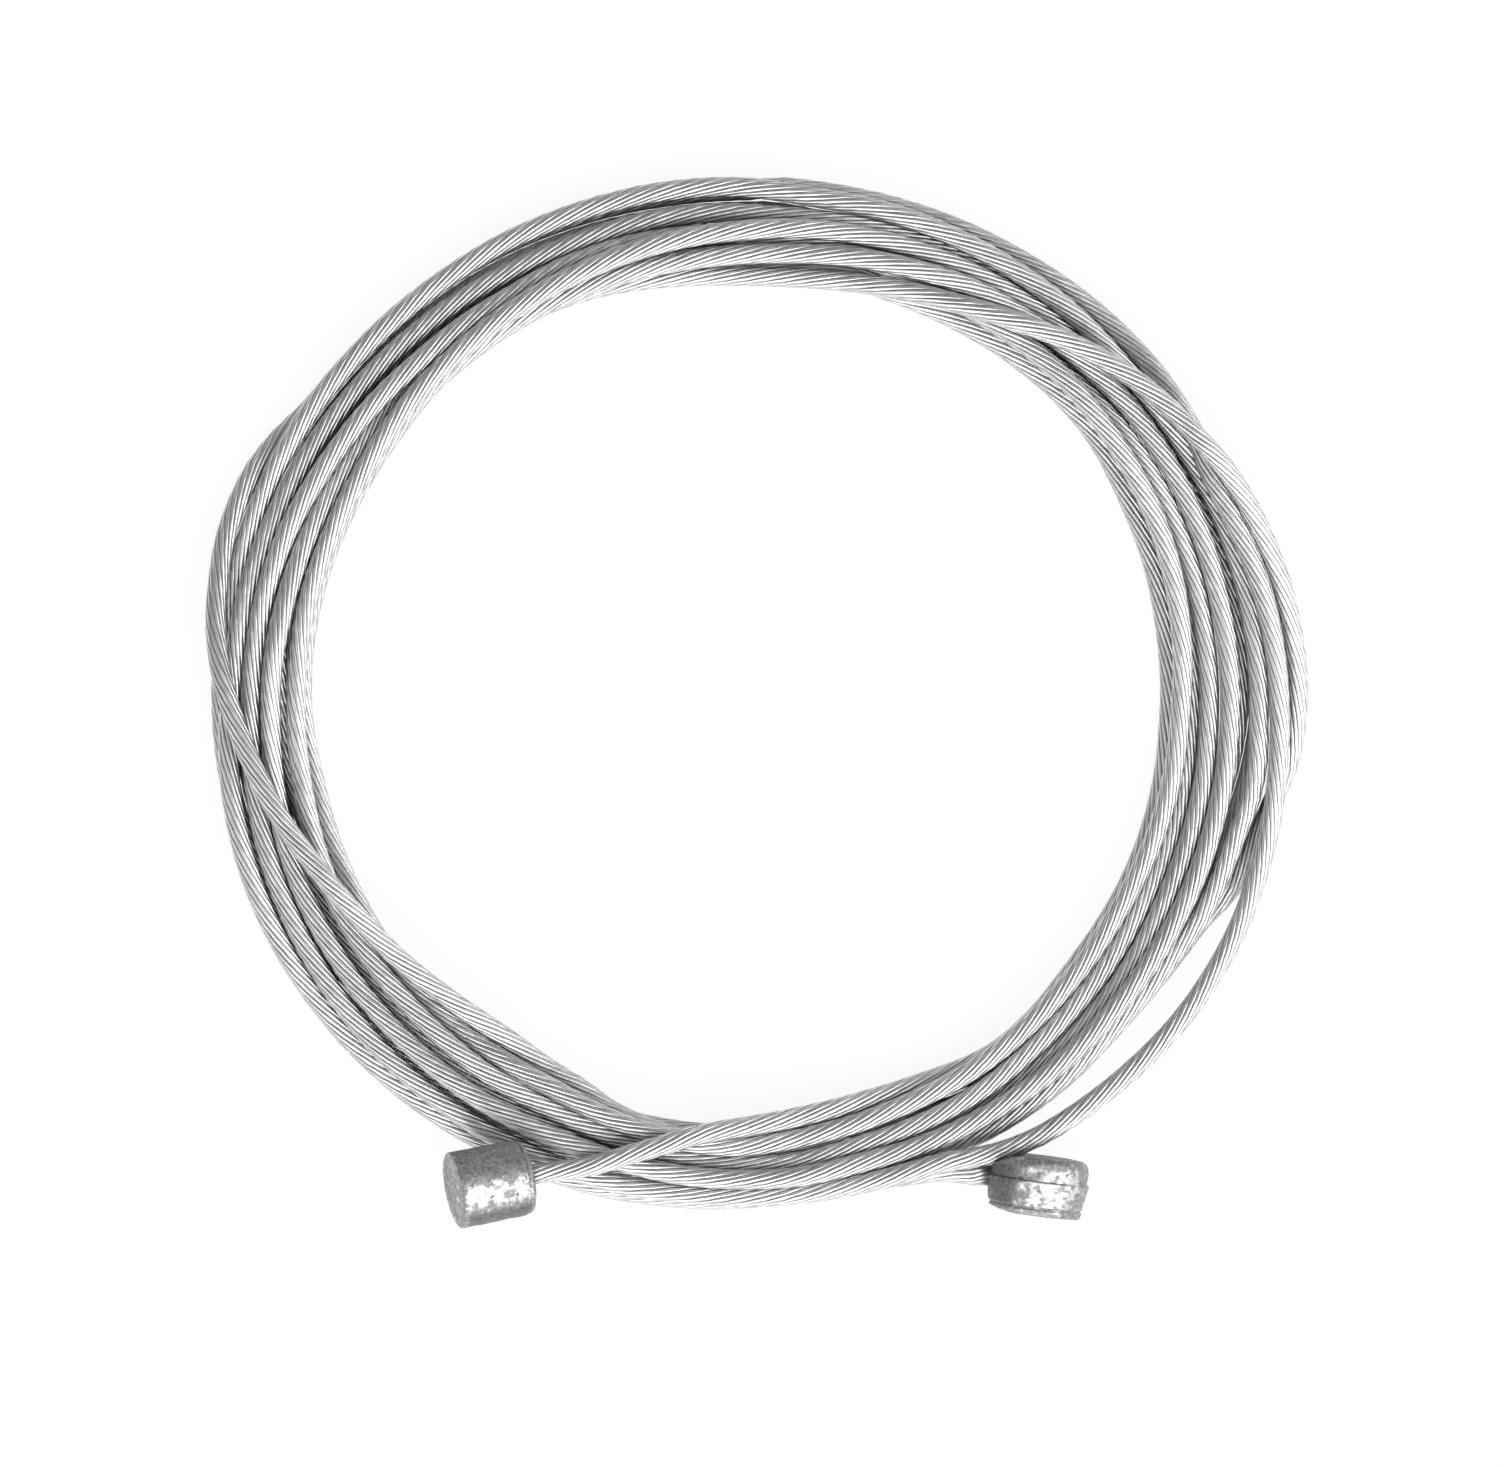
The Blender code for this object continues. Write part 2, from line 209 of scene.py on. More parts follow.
        (178, 0.88, 1.1, 1), (198, 0.871, 0.9, 1), (213, 0.865, 0.5, 1), (228, 0.885, 0, 0.5),
        (250, 0.885, 0, 0.5), (268, 0.858, 0, 0.2), (283, 0.848, 0.2, 0.4), (290, 0.838, 0.5, 0.8),
        (295, 0.829, 0.6, 1), (298, 0.823, 0.6, 1), (303, 0.815, 0.6, 1), (308, 0.809, 0.7, 1),
        (313, 0.805, 0.8, 1), (318, 0.8, 0.8, 1), (323, 0.792, 0.8, 1), (328, 0.781, 0.8, 1),
        (333, 0.773, 0.7, 1), (338, 0.768, 0.7, 1), (343, 0.763, 0.6, 1), (348, 0.757, 0.6, 1),
        (353, 0.754, 0.5, 1),
    ),
    # Low inside on the right, then up and over everything to the cylinder head
    (
        (3, 0.752, 0.3, 1), (13, 0.757, 0.3, 1), (28, 0.768, 0.3, 1), (38, 0.777, 0.3, 1),
        (43, 0.784, 0.3, 1), (48, 0.797, 0.3, 1), (53, 0.81, 0.4, 1), (58, 0.818, 0.6, 1),
        (63, 0.814, 1, 1), (68, 0.808, 1.3, 1), (73, 0.807, 1.7, 1), (78, 0.81, 2.2, 1),
        (83, 0.815, 2.8, 1), (87, 0.822, 3.1, 1),
    ),
)
LAST_TURN = 360.0 * (len(TURNS) - 1)
# Levels at which the free ends start out
BARREL_END_LEVEL = 1.9
CYLINDER_END_LEVEL = 3.3
# Angle and height at which the barrel's end comes down to the ring, and angle of the last turn from which
# the cylinder's end keeps the height of its own points
BARREL_END_LANDING = (75.0, 0.0022)
CYLINDER_END_FREE_ANGLE = 105.0

# How the turns settle
LEVEL_SPACING = 1.04  # height between two levels at the start, in diameters
SETTLE_STEPS = 600
FAST_STEPS = 480  # the first of the steps, in which the turns fall faster
FAST_FALL = 0.016  # fall in one step, in diameters
SLOW_FALL = 0.003
TRACK_PULL = 0.15  # share of the way back to its track that a turn goes in one step
STIFFNESS = 0.25  # share of the way to the middle of its neighbours along the strand
STIFF_STRIDES = (1, 2, 3, 5)  # how many degrees away those neighbours lie
CONTACT_ROUNDS = 3  # times in one step that touching turns push each other apart
LEAST_CROSSING_COSINE = 0.9
NO_DISTANCE = 1e-9  # added to distances, because two points may lie in one place

# The strand
WIRE_RADII_ACROSS = 7.0  # the strand's diameter in radii of an outer wire
GROOVE_DEPTHS_ACROSS = 32.0  # the strand's diameter in depths of the cut between two wires
PLACES_ACROSS_WIRE = (-0.5, -0.42, -0.2, 0.2, 0.42)  # points on a wire, in its widths from its crest
STRAND_RINGS = 1610  # rings of points along the strand
STRAND_IN_HEAD = 0.0006  # length that runs into each head

# The heads
CORNER_POINTS = 5  # points on each rounded corner of an outline
OUTLINE_SPACING = 0.00012  # greatest distance between an outline's points
SAME_POINT = 1e-7  # two points that are nearer than this are one
CAP_RADIUS = 0.00005  # an outline ends this far from the axis
LUMP_WAVES = 14  # waves that add up to a casting's lumps
LUMP_SUM = 2.2  # about the greatest height of their sum
# Rounding of the barrel head's two ends towards the cable: distance from the axis where it starts, distance
# beyond that over which it takes off its depth, and the depth
COIL_SIDE_ROUNDING = (0.00046, 0.00211, 0.0006)
FREE_SIDE_ROUNDING = (0.0009, 0.0018, 0.0003)
PIT_COLOUR = (0.09, 0.09, 0.09, 1.0)
# Colour of the painted shade along one flank of each head
PAINTED_SHADE_COLOUR = (0.06, 0.06, 0.06, 1.0)

# The studio
SOFT_BOXES = {  # direction from the ring's middle, distance, width and height
    "key": ((0.45, -0.75, 1.05), 0.5, 1.4, 0.5),
    "left": ((-0.88, -0.48, 0.85), 0.55, 0.5, 0.45),
    "right": ((0.95, 0.3, 0.85), 0.55, 0.5, 0.45),
}
SENSOR_WIDTH = 36.0  # the camera's, in millimetres
FAR_LIMIT = 20.0  # the camera sees nothing beyond this distance
FRAME_MIDDLE = (-0.00037, -0.00214)  # the camera's place beside the ring's middle
FULL_WIDTH_HEIGHT = 0.002  # height above the floor at which the frame takes in the view width
PLAIN_WHITE = 0.92  # share of the floor's colour that is plain white to the camera


class StrandSettings(bpy.types.PropertyGroup):
    """Sizes and colours of the twisted steel strand."""

    diameter: FloatProperty(
        name="Diameter", description="Width over the outer wires", default=0.0012,
        unit="LENGTH", precision=5,
    )
    length: FloatProperty(
        name="Length", description="Real length from head to head", default=1.75, unit="LENGTH"
    )
    wires: IntProperty(name="Wires", description="Number of outer wires", default=12, min=3)
    lay: FloatProperty(
        name="Lay", description="Length in which a wire goes round once", default=0.0134,
        unit="LENGTH", precision=5,
    )
    steel: FloatVectorProperty(
        name="Steel", description="Colour of the wires", default=(0.70, 0.70, 0.69), subtype="COLOR", size=3
    )
    # Colour of the painted shade in the grooves between wires
    groove_shade_colour: FloatVectorProperty(
        name="Painted_groove_shade", description="Colour in the grooves between wires", default=(0.06, 0.06, 0.06),
        subtype="COLOR", size=3,
    )


class HeadSettings(bpy.types.PropertyGroup):
    """Sizes and colours of the cast heads."""

    cylinder_diameter: FloatProperty(
        name="Cylinder width", description="Width of the head in line with the cable", default=0.0044,
        unit="LENGTH", precision=5,
    )
    cylinder_length: FloatProperty(
        name="Cylinder length", description="Length of the head in line with the cable", default=0.0043,
        unit="LENGTH", precision=5,
    )
    barrel_diameter: FloatProperty(
        name="Barrel width", description="Width of the head that lies crosswise", default=0.0058,
        unit="LENGTH", precision=5,
    )
    barrel_length: FloatProperty(
        name="Barrel length", description="Length of the head that lies crosswise", default=0.0033,
        unit="LENGTH", precision=5,
    )
    zinc: FloatVectorProperty(
        name="Zinc", description="Colour of the cast metal", default=(0.38, 0.38, 0.38),
        subtype="COLOR", size=3,
    )
    # Also the colour of the painted highlight band near the top of each head
    bright: FloatVectorProperty(
        name="Bright zinc", description="Colour where the casting is rubbed bright",
        default=(0.62, 0.62, 0.61), subtype="COLOR", size=3,
    )


class StudioSettings(bpy.types.PropertyGroup):
    """Floor, lights and camera."""

    floor_size: FloatProperty(name="Floor", description="Side of the floor", default=4.0, unit="LENGTH")
    lens: FloatProperty(name="Lens", description="Focal length in millimetres", default=200.0)
    view_width: FloatProperty(
        name="View width", description="Width that the frame takes in", default=0.0857,
        unit="LENGTH", precision=4,
    )
    key_radiance: FloatProperty(
        name="Key light", description="Brightness of the large soft box", default=3.1,
    )
    left_radiance: FloatProperty(
        name="Left light", description="Brightness of the left soft box", default=1.1,
    )
    right_radiance: FloatProperty(
        name="Right light", description="Brightness of the right soft box", default=0.7,
    )
    world_radiance: FloatProperty(name="Room light", description="Brightness of the room", default=0.32)


def smooth_between(x, keys_x, keys_y):
    """Return values at x on a smooth curve through the keys that never overshoots them.

    A cubic runs between each two keys. Its slope at a key is the weighted harmonic mean of the slopes of
    the straight lines on both sides, or zero where they have opposite signs.
    """
    step = np.diff(keys_x)
    slope = np.diff(keys_y) / step
    left, right = slope[:-1], slope[1:]
    weight_left, weight_right = 2 * step[1:] + step[:-1], step[1:] + 2 * step[:-1]
    same_sign = left * right > 0
    safe_left, safe_right = np.where(same_sign, left, 1.0), np.where(same_sign, right, 1.0)
    mean = (weight_left + weight_right) / (weight_left / safe_left + weight_right / safe_right)
    tangent = np.concatenate([[slope[0]], np.where(same_sign, mean, 0.0), [slope[-1]]])
    i = np.clip(np.searchsorted(keys_x, x) - 1, 0, len(step) - 1)
    t = (x - keys_x[i]) / step[i]
    rise = (3 - 2 * t) * t**2
    return (
        (1 - rise) * keys_y[i]
        + rise * keys_y[i + 1]
        + step[i] * (t * (1 - t) ** 2 * tangent[i] - t**2 * (1 - t) * tangent[i + 1])
    )


def end_keys(route, base_height, turn_angle):
    """Return a free end's points as rising angle, share of the ring's half axes, and height."""
    angle, share, rise = np.array(sorted(route)).T
    across = share * COIL_HALF_LENGTH * np.cos(np.radians(angle))
    down = share * COIL_HALF_WIDTH * np.sin(np.radians(angle))
    ring_share = np.hypot(across / RING_HALF_LENGTH, down / RING_HALF_WIDTH)
    return np.column_stack([turn_angle + angle, ring_share, base_height + rise])


def strand_route(diameter):
    """Return points along the middle of the strand, from the barrel head to the cylinder head.

    The turns' angles are added up along the strand, one slice of the ring for each whole degree. In a slice
    a turn is a point with a distance from the ring's middle and a height. The points start on their tracks,
    stacked by level. Then gravity lowers them, the track pulls them back, stiffness draws each towards the
    middle of its neighbours along the strand, and two that are nearer than a diameter push each other
    apart, until the turns rest on the floor and on each other.
    """
    start_end = end_keys(BARREL_END_ROUTE, BARREL_MIDDLE, 0.0)
    final_end = end_keys(CYLINDER_END_ROUTE, CROWN_ROUTE_HEIGHT, LAST_TURN)
    inner = np.array([(360.0 * k + key[0], *key[1:]) for k, turn in enumerate(TURNS) for key in turn])
    start_keys, final_keys = (
        np.column_stack([end[:, :2], np.full(len(end), level), np.ones(len(end))])
        for end, level in ((start_end, BARREL_END_LEVEL), (final_end, CYLINDER_END_LEVEL))
    )
    keys = np.vstack([start_keys, inner, final_keys])
    first, last = keys[0, 0], keys[-1, 0]
    angle = np.arange(360.0 * len(TURNS))
    real = (angle >= np.floor(first)) & (angle <= np.ceil(last))
    inside = np.clip(angle, first, last)
    share = smooth_between(inside, keys[:, 0], keys[:, 1])
    level = smooth_between(inside, keys[:, 0], keys[:, 2])
    hold = np.interp(inside, keys[:, 0], keys[:, 3])
    theta = np.radians(angle)
    scale = np.hypot(RING_HALF_LENGTH * np.cos(theta), RING_HALF_WIDTH * np.sin(theta))
    goal = share * scale
    # Heights that are given: the free stretch at each head
    free_end = final_end[final_end[:, 0] > LAST_TURN + CYLINDER_END_FREE_ANGLE]
    given = np.vstack([start_end[:, [0, 2]], [BARREL_END_LANDING], free_end[:, [0, 2]]])
    pinned = real & ((angle <= BARREL_END_LANDING[0]) | (angle >= free_end[0, 0]))
    pinned_height = np.interp(inside, given[:, 0], given[:, 1])
    r, z = settle(goal, level, hold, real, pinned, pinned_height, scale, diameter)
    # The exact ends, then every whole degree between them
    run = np.concatenate([[first], angle[(angle > first) & (angle < last)], [last]])
    r = np.interp(run, angle[real], r[real])
    z = np.interp(run, angle[real], z[real])
    across = RING_HALF_LENGTH * np.cos(np.radians(run))
    down = RING_HALF_WIDTH * np.sin(np.radians(run))
    share = r / np.hypot(across, down)
    x = RING_CENTRE.x + across * share
    y = RING_CENTRE.y - down * share
    return np.column_stack([x, y, z])


def settle(goal, level, hold, real, pinned, pinned_height, scale, diameter):
    """Return the settled distances from the ring's middle and the heights, after many small steps."""
    turns = len(goal) // 360
    radius = diameter / 2.0
    r = goal.copy()
    z = radius + LEVEL_SPACING * diameter * level
    z[pinned] = pinned_height[pinned]
    # Two strands that cross at an angle are nearer than their slices' points by its cosine
    heading = np.arctan(np.gradient(goal) / (scale * radians(1.0))).reshape(turns, 360)
    crossing = np.clip(np.cos(heading[:, None] - heading[None]), LEAST_CROSSING_COSINE, 1.0)
    there = real.reshape(turns, 360)
    pairs = there[:, None] & there[None] & ~np.eye(turns, dtype=bool)[:, :, None]
    first, last = np.flatnonzero(real)[[0, -1]]
    for step in range(SETTLE_STEPS):
        z -= diameter * (FAST_FALL if step < FAST_STEPS else SLOW_FALL)
        r += (goal - r) * TRACK_PULL * hold
        for stride in STIFF_STRIDES:
            a, b = first + stride, last - stride + 1
            before, after = slice(a - stride, b - stride), slice(a + stride, b + stride)
            track_bend = (goal[before] + goal[after]) / 2 - goal[a:b]
            r[a:b] += STIFFNESS * ((r[before] + r[after]) / 2 - track_bend - r[a:b])
            z[a:b] += STIFFNESS * ((z[before] + z[after]) / 2 - z[a:b])
        r[pinned], z[pinned] = goal[pinned], pinned_height[pinned]
        for _ in range(CONTACT_ROUNDS):
            across = r.reshape(turns, 360)
            up = z.reshape(turns, 360)
            apart_r = (across[:, None] - across[None]) * crossing
            apart_z = up[:, None] - up[None]
            distance = np.hypot(apart_r, apart_z) + NO_DISTANCE
            depth = np.where(pairs, np.maximum(diameter - distance, 0.0), 0.0)
            # Each of two takes half of a push, and less where it has several neighbours
            share = 0.5 / np.sqrt(np.maximum((depth > 0).sum(1), 1))
            r += ((depth * apart_r / distance).sum(1) * share).ravel()
            z += ((depth * apart_z / distance).sum(1) * share).ravel()
            z = np.maximum(z, radius)
            r[pinned], z[pinned] = goal[pinned], pinned_height[pinned]
    return r, z


def lengthened(points, extra):
    """Return a polyline with a point added straight beyond each end."""
    start, stop = (
        end + extra * (end - inner) / np.linalg.norm(end - inner)
        for end, inner in ((points[0], points[1]), (points[-1], points[-2]))
    )
    return np.vstack([start, points, stop])


def even_stations(points, count):
    """Return count points evenly spaced along a polyline, and their distances from its start."""
    run = np.concatenate([[0.0], np.cumsum(np.linalg.norm(np.diff(points, axis=0), axis=1))])
    along = np.linspace(0.0, run[-1], count)
    return np.column_stack([np.interp(along, run, points[:, axis]) for axis in range(3)]), along


def wire_section(wires, diameter):
    """Return the angle, distance from the middle, and place across its wire of each point of the section.

    The outer wires are equal circles whose middles lie on one circle: a line from the strand's middle, at
    angle d from a wire's own direction, leaves the wire at c cos d + sqrt(w^2 - (c sin d)^2), where c is
    the distance to the wire's middle and w its radius, and the root is zero where the line passes beside
    it. The point between two wires lies a little deeper.
    """
    wire_radius = diameter / WIRE_RADII_ACROSS
    middle = diameter / 2.0 - wire_radius
    pitch = tau / wires
    across = np.array(PLACES_ACROSS_WIRE)
    turn = across * pitch
    root = np.sqrt(np.maximum(wire_radius**2 - (middle * np.sin(turn)) ** 2, 0.0))
    reach = middle * np.cos(turn) + root
    reach[0] -= diameter / GROOVE_DEPTHS_ACROSS
    angle = (np.arange(wires)[:, None] * pitch + turn[None]).ravel()
    return angle, np.tile(reach, wires), (np.arange(wires)[:, None] + 0.5 + across[None]).ravel()


def closed_mesh(name, points, uv):
    """Return a closed mesh over a grid of points (rings, points around, 3), with a UV map in the same grid.

    The first and last rings are closed by a face each. uv has one more column than a ring has points, so
    that the map's seam lies on an edge.
    """
    rings, around = points.shape[:2]
    i = np.arange(rings - 1)[:, None]
    j = np.arange(around)[None]
    following = (j + 1) % around
    here, above = i * around, (i + 1) * around
    quads = np.stack([here + j, above + j, above + following, here + following], axis=-1).reshape(-1, 4)
    corner_uv = np.stack([uv[i, j], uv[i + 1, j], uv[i + 1, j + 1], uv[i, j + 1]], axis=2).reshape(-1, 2)
    last_ring = range((rings - 1) * around, rings * around)
    faces = [*quads.tolist(), list(range(around)), list(last_ring[::-1])]
    corner_uv = np.concatenate([corner_uv, uv[0, :around], uv[-1, :around][::-1]])
    mesh = bpy.data.meshes.new(name)
    mesh.from_pydata(points.reshape(-1, 3).tolist(), [], faces)
    layer = mesh.uv_layers.new(name="around_and_along")
    layer.data.foreach_set("uv", corner_uv.astype(np.float32).ravel())
    mesh.shade_smooth()
    mesh.update()
    return mesh


def strand_mesh(name, route, settings):
    """Return the strand's surface and its ring centres.

    At distance s along the route, a point of the section at angle a and distance d lies at the route's
    point plus d times (cos(a + t) side + sin(a + t) up), where t grows by one turn in each lay length, so
    that the wires run round the strand to the left. side is level and square to the route, and up is square
    to both.
    """
    centres, along = even_stations(route, STRAND_RINGS)
    tangent = np.gradient(centres, axis=0)
    tangent /= np.linalg.norm(tangent, axis=1)[:, None]
    side = np.cross(tangent, (0.0, 0.0, 1.0))
    side /= np.linalg.norm(side, axis=1)[:, None]
    up = np.cross(side, tangent)
    angle, reach, wire = wire_section(settings.wires, settings.diameter)
    turned = angle[None] + tau * along[:, None] / settings.lay
    points = (
        centres[:, None]
        + (reach * np.cos(turned))[..., None] * side[:, None]
        + (reach * np.sin(turned))[..., None] * up[:, None]
    )
    wire_column = np.append(wire, wire[0] + settings.wires) / settings.wires
    uv = np.stack(np.broadcast_arrays(wire_column[None], along[:, None] / settings.length), axis=-1)
    return closed_mesh(name, points, uv), centres


def add_piece(name, mesh, material, replaced):
    """Link a finished mesh as a piece of the object that stands for some of the model's nodes."""
    piece = bpy.data.objects.new(name, mesh)
    mesh.materials.append(material)
    bpy.context.scene.collection.objects.link(piece)
    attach(piece, "root")
    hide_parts(*replaced)
    return piece


class NodeSheet:
    """Short calls for building a material's nodes."""

    def __init__(self, name):
        self.material = bpy.data.materials.new(name)
        self.material.use_nodes = True
        self.tree = self.material.node_tree
        self.shader = self.tree.nodes["Principled BSDF"]

    def add(self, kind, values=(), **options):
        """Add a node with its options, and link or set its inputs by name or number."""
        node = self.tree.nodes.new(kind)
        for option, value in options.items():
            setattr(node, option, value)
        for socket, value in dict(values).items():
            self.join(value, node.inputs[socket])
        return node

    def join(self, value, socket):
        """Link an output to a socket, or set the socket's own value."""
        if isinstance(value, bpy.types.NodeSocket):
            self.tree.links.new(value, socket)
        else:
            socket.default_value = value

    def surface(self, inputs):
        """Link or set the shader's inputs by name."""
        for socket, value in inputs.items():
            self.join(value, self.shader.inputs[socket])

    def math(self, operation, *values):
        """Return the output of a Math node."""
        return self.add("ShaderNodeMath", enumerate(values), operation=operation).outputs[0]

    def mix(self, factor, low, high, blend="MIX"):
        """Return a colour that is mixed from two, where the factor is the second one's share."""
        colours = {0: factor, 6: low, 7: high}
        return self.add("ShaderNodeMix", colours, data_type="RGBA", blend_type=blend).outputs[2]

    def ramp(self, value, low, high, to_low=0.0, to_high=1.0):
        """Return a value that goes smoothly from to_low to to_high while the input goes from low to high."""
        inputs = enumerate((value, low, high, to_low, to_high))
        node = self.add("ShaderNodeMapRange", inputs, interpolation_type="SMOOTHSTEP", clamp=True)
        return node.outputs[0]

    def noise(self, place, scale, detail, roughness=0.5, distortion=0.0):
        """Return the value of a noise at a place."""
        inputs = {"Vector": place, "Scale": scale, "Detail": detail, "Roughness": roughness}
        return self.add("ShaderNodeTexNoise", {**inputs, "Distortion": distortion}).outputs[0]

    def bump(self, height, strength, distance):
        """Return a normal that follows a height."""
        inputs = {"Strength": strength, "Distance": distance, "Height": height}
        return self.add("ShaderNodeBump", inputs).outputs[0]


def strand_material(settings):
    """Drawn steel wires: painted shade in the grooves, fine drawing lines, and a tone of each wire's own."""
    sheet = NodeSheet("drawn_steel_wires")
    place = sheet.add("ShaderNodeUVMap", uv_map="around_and_along").outputs[0]
    split = sheet.add("ShaderNodeSeparateXYZ", {0: place})
    wire = sheet.math("MULTIPLY", split.outputs[0], float(settings.wires))
    along = sheet.math("MULTIPLY", split.outputs[1], settings.length / settings.diameter)
    across = sheet.math("FRACT", wire)
    from_crest = sheet.math("ABSOLUTE", sheet.math("SUBTRACT", across, 0.5))
    # Painted shade: a mask that is 1 in the grooves between wires
    shade_in_grooves = sheet.ramp(from_crest, 0.36, 0.49)
    which = sheet.math("FLOOR", wire)
    wire_tone = sheet.add("ShaderNodeTexWhiteNoise", {"W": which}, noise_dimensions="1D").outputs[0]
    lengthwise = sheet.math("MULTIPLY", along, 0.35)
    stretched = sheet.add("ShaderNodeCombineXYZ", {0: wire, 1: lengthwise, 2: which}).outputs[0]
    streak = sheet.noise(stretched, 2.6, 3.0, 0.6)
    crosswise = sheet.math("MULTIPLY", wire, 9.0)
    narrowed = sheet.add("ShaderNodeCombineXYZ", {0: crosswise, 1: along, 2: which}).outputs[0]
    fine = sheet.noise(narrowed, 1.6, 2.0)
    tone = sheet.math(
        "ADD", sheet.ramp(streak, 0.3, 0.75, 0.66, 1.02), sheet.math("MULTIPLY", wire_tone, 0.12)
    )
    grey = sheet.add("ShaderNodeCombineColor", {0: tone, 1: tone, 2: tone}).outputs[0]
    steel = sheet.mix(1.0, (*settings.steel, 1.0), grey, blend="MULTIPLY")
    # Painted shade: in the grooves the base colour goes most of the way to the dark groove colour
    sheet.surface({
        "Base Color": sheet.mix(sheet.math("MULTIPLY", shade_in_grooves, 0.88), steel, (*settings.groove_shade_colour, 1.0)),
        "Metallic": 1.0,
        "Roughness": sheet.ramp(fine, 0.3, 0.7, 0.28, 0.42),
        "Normal": sheet.bump(fine, 0.25, 0.00002),
    })
    return sheet.material


def zinc_material(name, settings, sheen_middle, sheen_width, shade_middle, shade_width, reach):
    """Cast zinc: grainy grey skin with dark pits, smeared patches that rubbing left bright, a painted
    highlight and painted shade.

    Most bright patches lie in a band along the head's side, at sheen_middle of a turn around it, near its
    top: a painted highlight over the patches that rubbing left. A band at shade_middle of a turn, along a
    flank, is painted shade. Each width is half a band's, in turns, and reach is the share of the outline's
    length that both bands cover on either side of its middle.
    """
    sheet = NodeSheet(name)
    place = sheet.add("ShaderNodeTexCoord").outputs["Object"]
    grain = sheet.noise(place, 5200.0, 4.0, 0.65)
    mottle = sheet.noise(place, 2000.0, 5.0, 0.7, 0.6)
    pits = sheet.add("ShaderNodeTexVoronoi", {"Vector": place, "Scale": 1500.0}).outputs[0]
    pit = sheet.math(
        "MULTIPLY", sheet.ramp(pits, 0.06, 0.22, 1.0, 0.0), sheet.ramp(mottle, 0.42, 0.55, 1.0, 0.0)
    )
    around = sheet.add("ShaderNodeUVMap", uv_map="around_and_along").outputs[0]
    turn, along = sheet.add("ShaderNodeSeparateXYZ", {0: around}).outputs[:2]
    from_side = sheet.math("ABSOLUTE", sheet.math("SUBTRACT", along, 0.5))
    on_side = sheet.ramp(from_side, reach - 0.04, reach, 1.0, 0.0)

    def turns_from(middle):
        """Return how far around the head a point lies from a place, in turns."""
        wrapped = sheet.math("FRACT", sheet.math("ADD", turn, 1.5 - middle))
        return sheet.math("ABSOLUTE", sheet.math("SUBTRACT", wrapped, 0.5))

    # Painted highlight: a band near the top of the head in which more patches turn bright
    sheen_band = sheet.ramp(turns_from(sheen_middle), 0.55 * sheen_width, 1.3 * sheen_width, 0.12, -0.05)
    sheen_band = sheet.math("MULTIPLY", sheen_band, on_side)
    # Bright patches: random wear from the mottle, with the painted highlight band added
    wear_and_sheen = sheet.ramp(sheet.math("ADD", mottle, sheen_band), 0.54, 0.66)
    ragged_edge = 0.06
    # Painted shade: a dark band with a ragged edge along one flank of the head
    ragged = sheet.math("ADD", turns_from(shade_middle), sheet.math("MULTIPLY", mottle, ragged_edge))
    inner, outer = (part * shade_width + ragged_edge / 2.0 for part in (0.8, 1.2))
    painted_shade = sheet.math("MULTIPLY", sheet.ramp(ragged, inner, outer, 0.55, 0.0), on_side)
    dark_zinc = [x * 0.55 for x in settings.zinc] + [1.0]
    base = sheet.mix(sheet.ramp(grain, 0.35, 0.7), dark_zinc, (*settings.zinc, 1.0))
    base = sheet.mix(sheet.math("MULTIPLY", wear_and_sheen, 0.85), base, (*settings.bright, 1.0))
    base = sheet.mix(painted_shade, base, PAINTED_SHADE_COLOUR)
    height = sheet.math("SUBTRACT", sheet.math("ADD", sheet.math("MULTIPLY", grain, 0.4), mottle), pit)
    sheet.surface({
        "Base Color": sheet.mix(pit, base, PIT_COLOUR),
        "Metallic": 0.9,
        "Roughness": sheet.ramp(wear_and_sheen, 0.0, 1.0, 0.6, 0.4),
        "Normal": sheet.bump(height, 0.6, 0.00006),
    })
    return sheet.material


def lumps(angle, along, seed, size):
    """Return the uneven height of a casting: waves around and along it that are drawn from a seed."""
    draw = np.random.default_rng(seed)
    height = np.zeros(np.broadcast(angle, along).shape)
    for _ in range(LUMP_WAVES):
        around = draw.integers(2, 11)
        wave = draw.uniform(0.6, 4.5) * tau
        phase = draw.uniform(0.0, tau)
        height = height + np.sin(around * angle + wave * along + phase) / (1 + 0.4 * around)
    return size * height / LUMP_SUM


def turned_head(name, outline, frame_axes, centre, seed, lump_height, around=128):
    """Return a head turned from an outline of (place along the axis, radius), closed at both ends.

    At angle a and outline point (t, r), the surface is centre + t axis + r (cos a first + sin a second),
    with t and r made uneven by the casting's lumps, which fade out where the outline meets the axis.
    """
    axis, first, second = frame_axes
    angle = np.linspace(0.0, tau, around, endpoint=False)[None]
    t, r = np.array(outline).T[:, :, None]
    fade = np.minimum(r / r.max() * 1.5, 1.0)
    radius = r + fade * lumps(angle, t / np.ptp(t), seed, lump_height)
    # Lower lumps on the flat ends, drawn apart from those on the side
    lift = fade * lumps(angle, r / r.max() + 3.0, seed + 1, 0.4 * lump_height)
    points = (
        centre
        + (t + lift)[..., None] * axis
        + (radius * np.cos(angle))[..., None] * first
        + (radius * np.sin(angle))[..., None] * second
    )
    run = np.concatenate([[0.0], np.cumsum(np.hypot(np.diff(t[:, 0]), np.diff(r[:, 0])))])
    turn = np.linspace(0.0, 1.0, around + 1)[None]
    uv = np.stack(np.broadcast_arrays(turn, run[:, None] / run[-1]), axis=-1)
    return closed_mesh(name, points, uv)


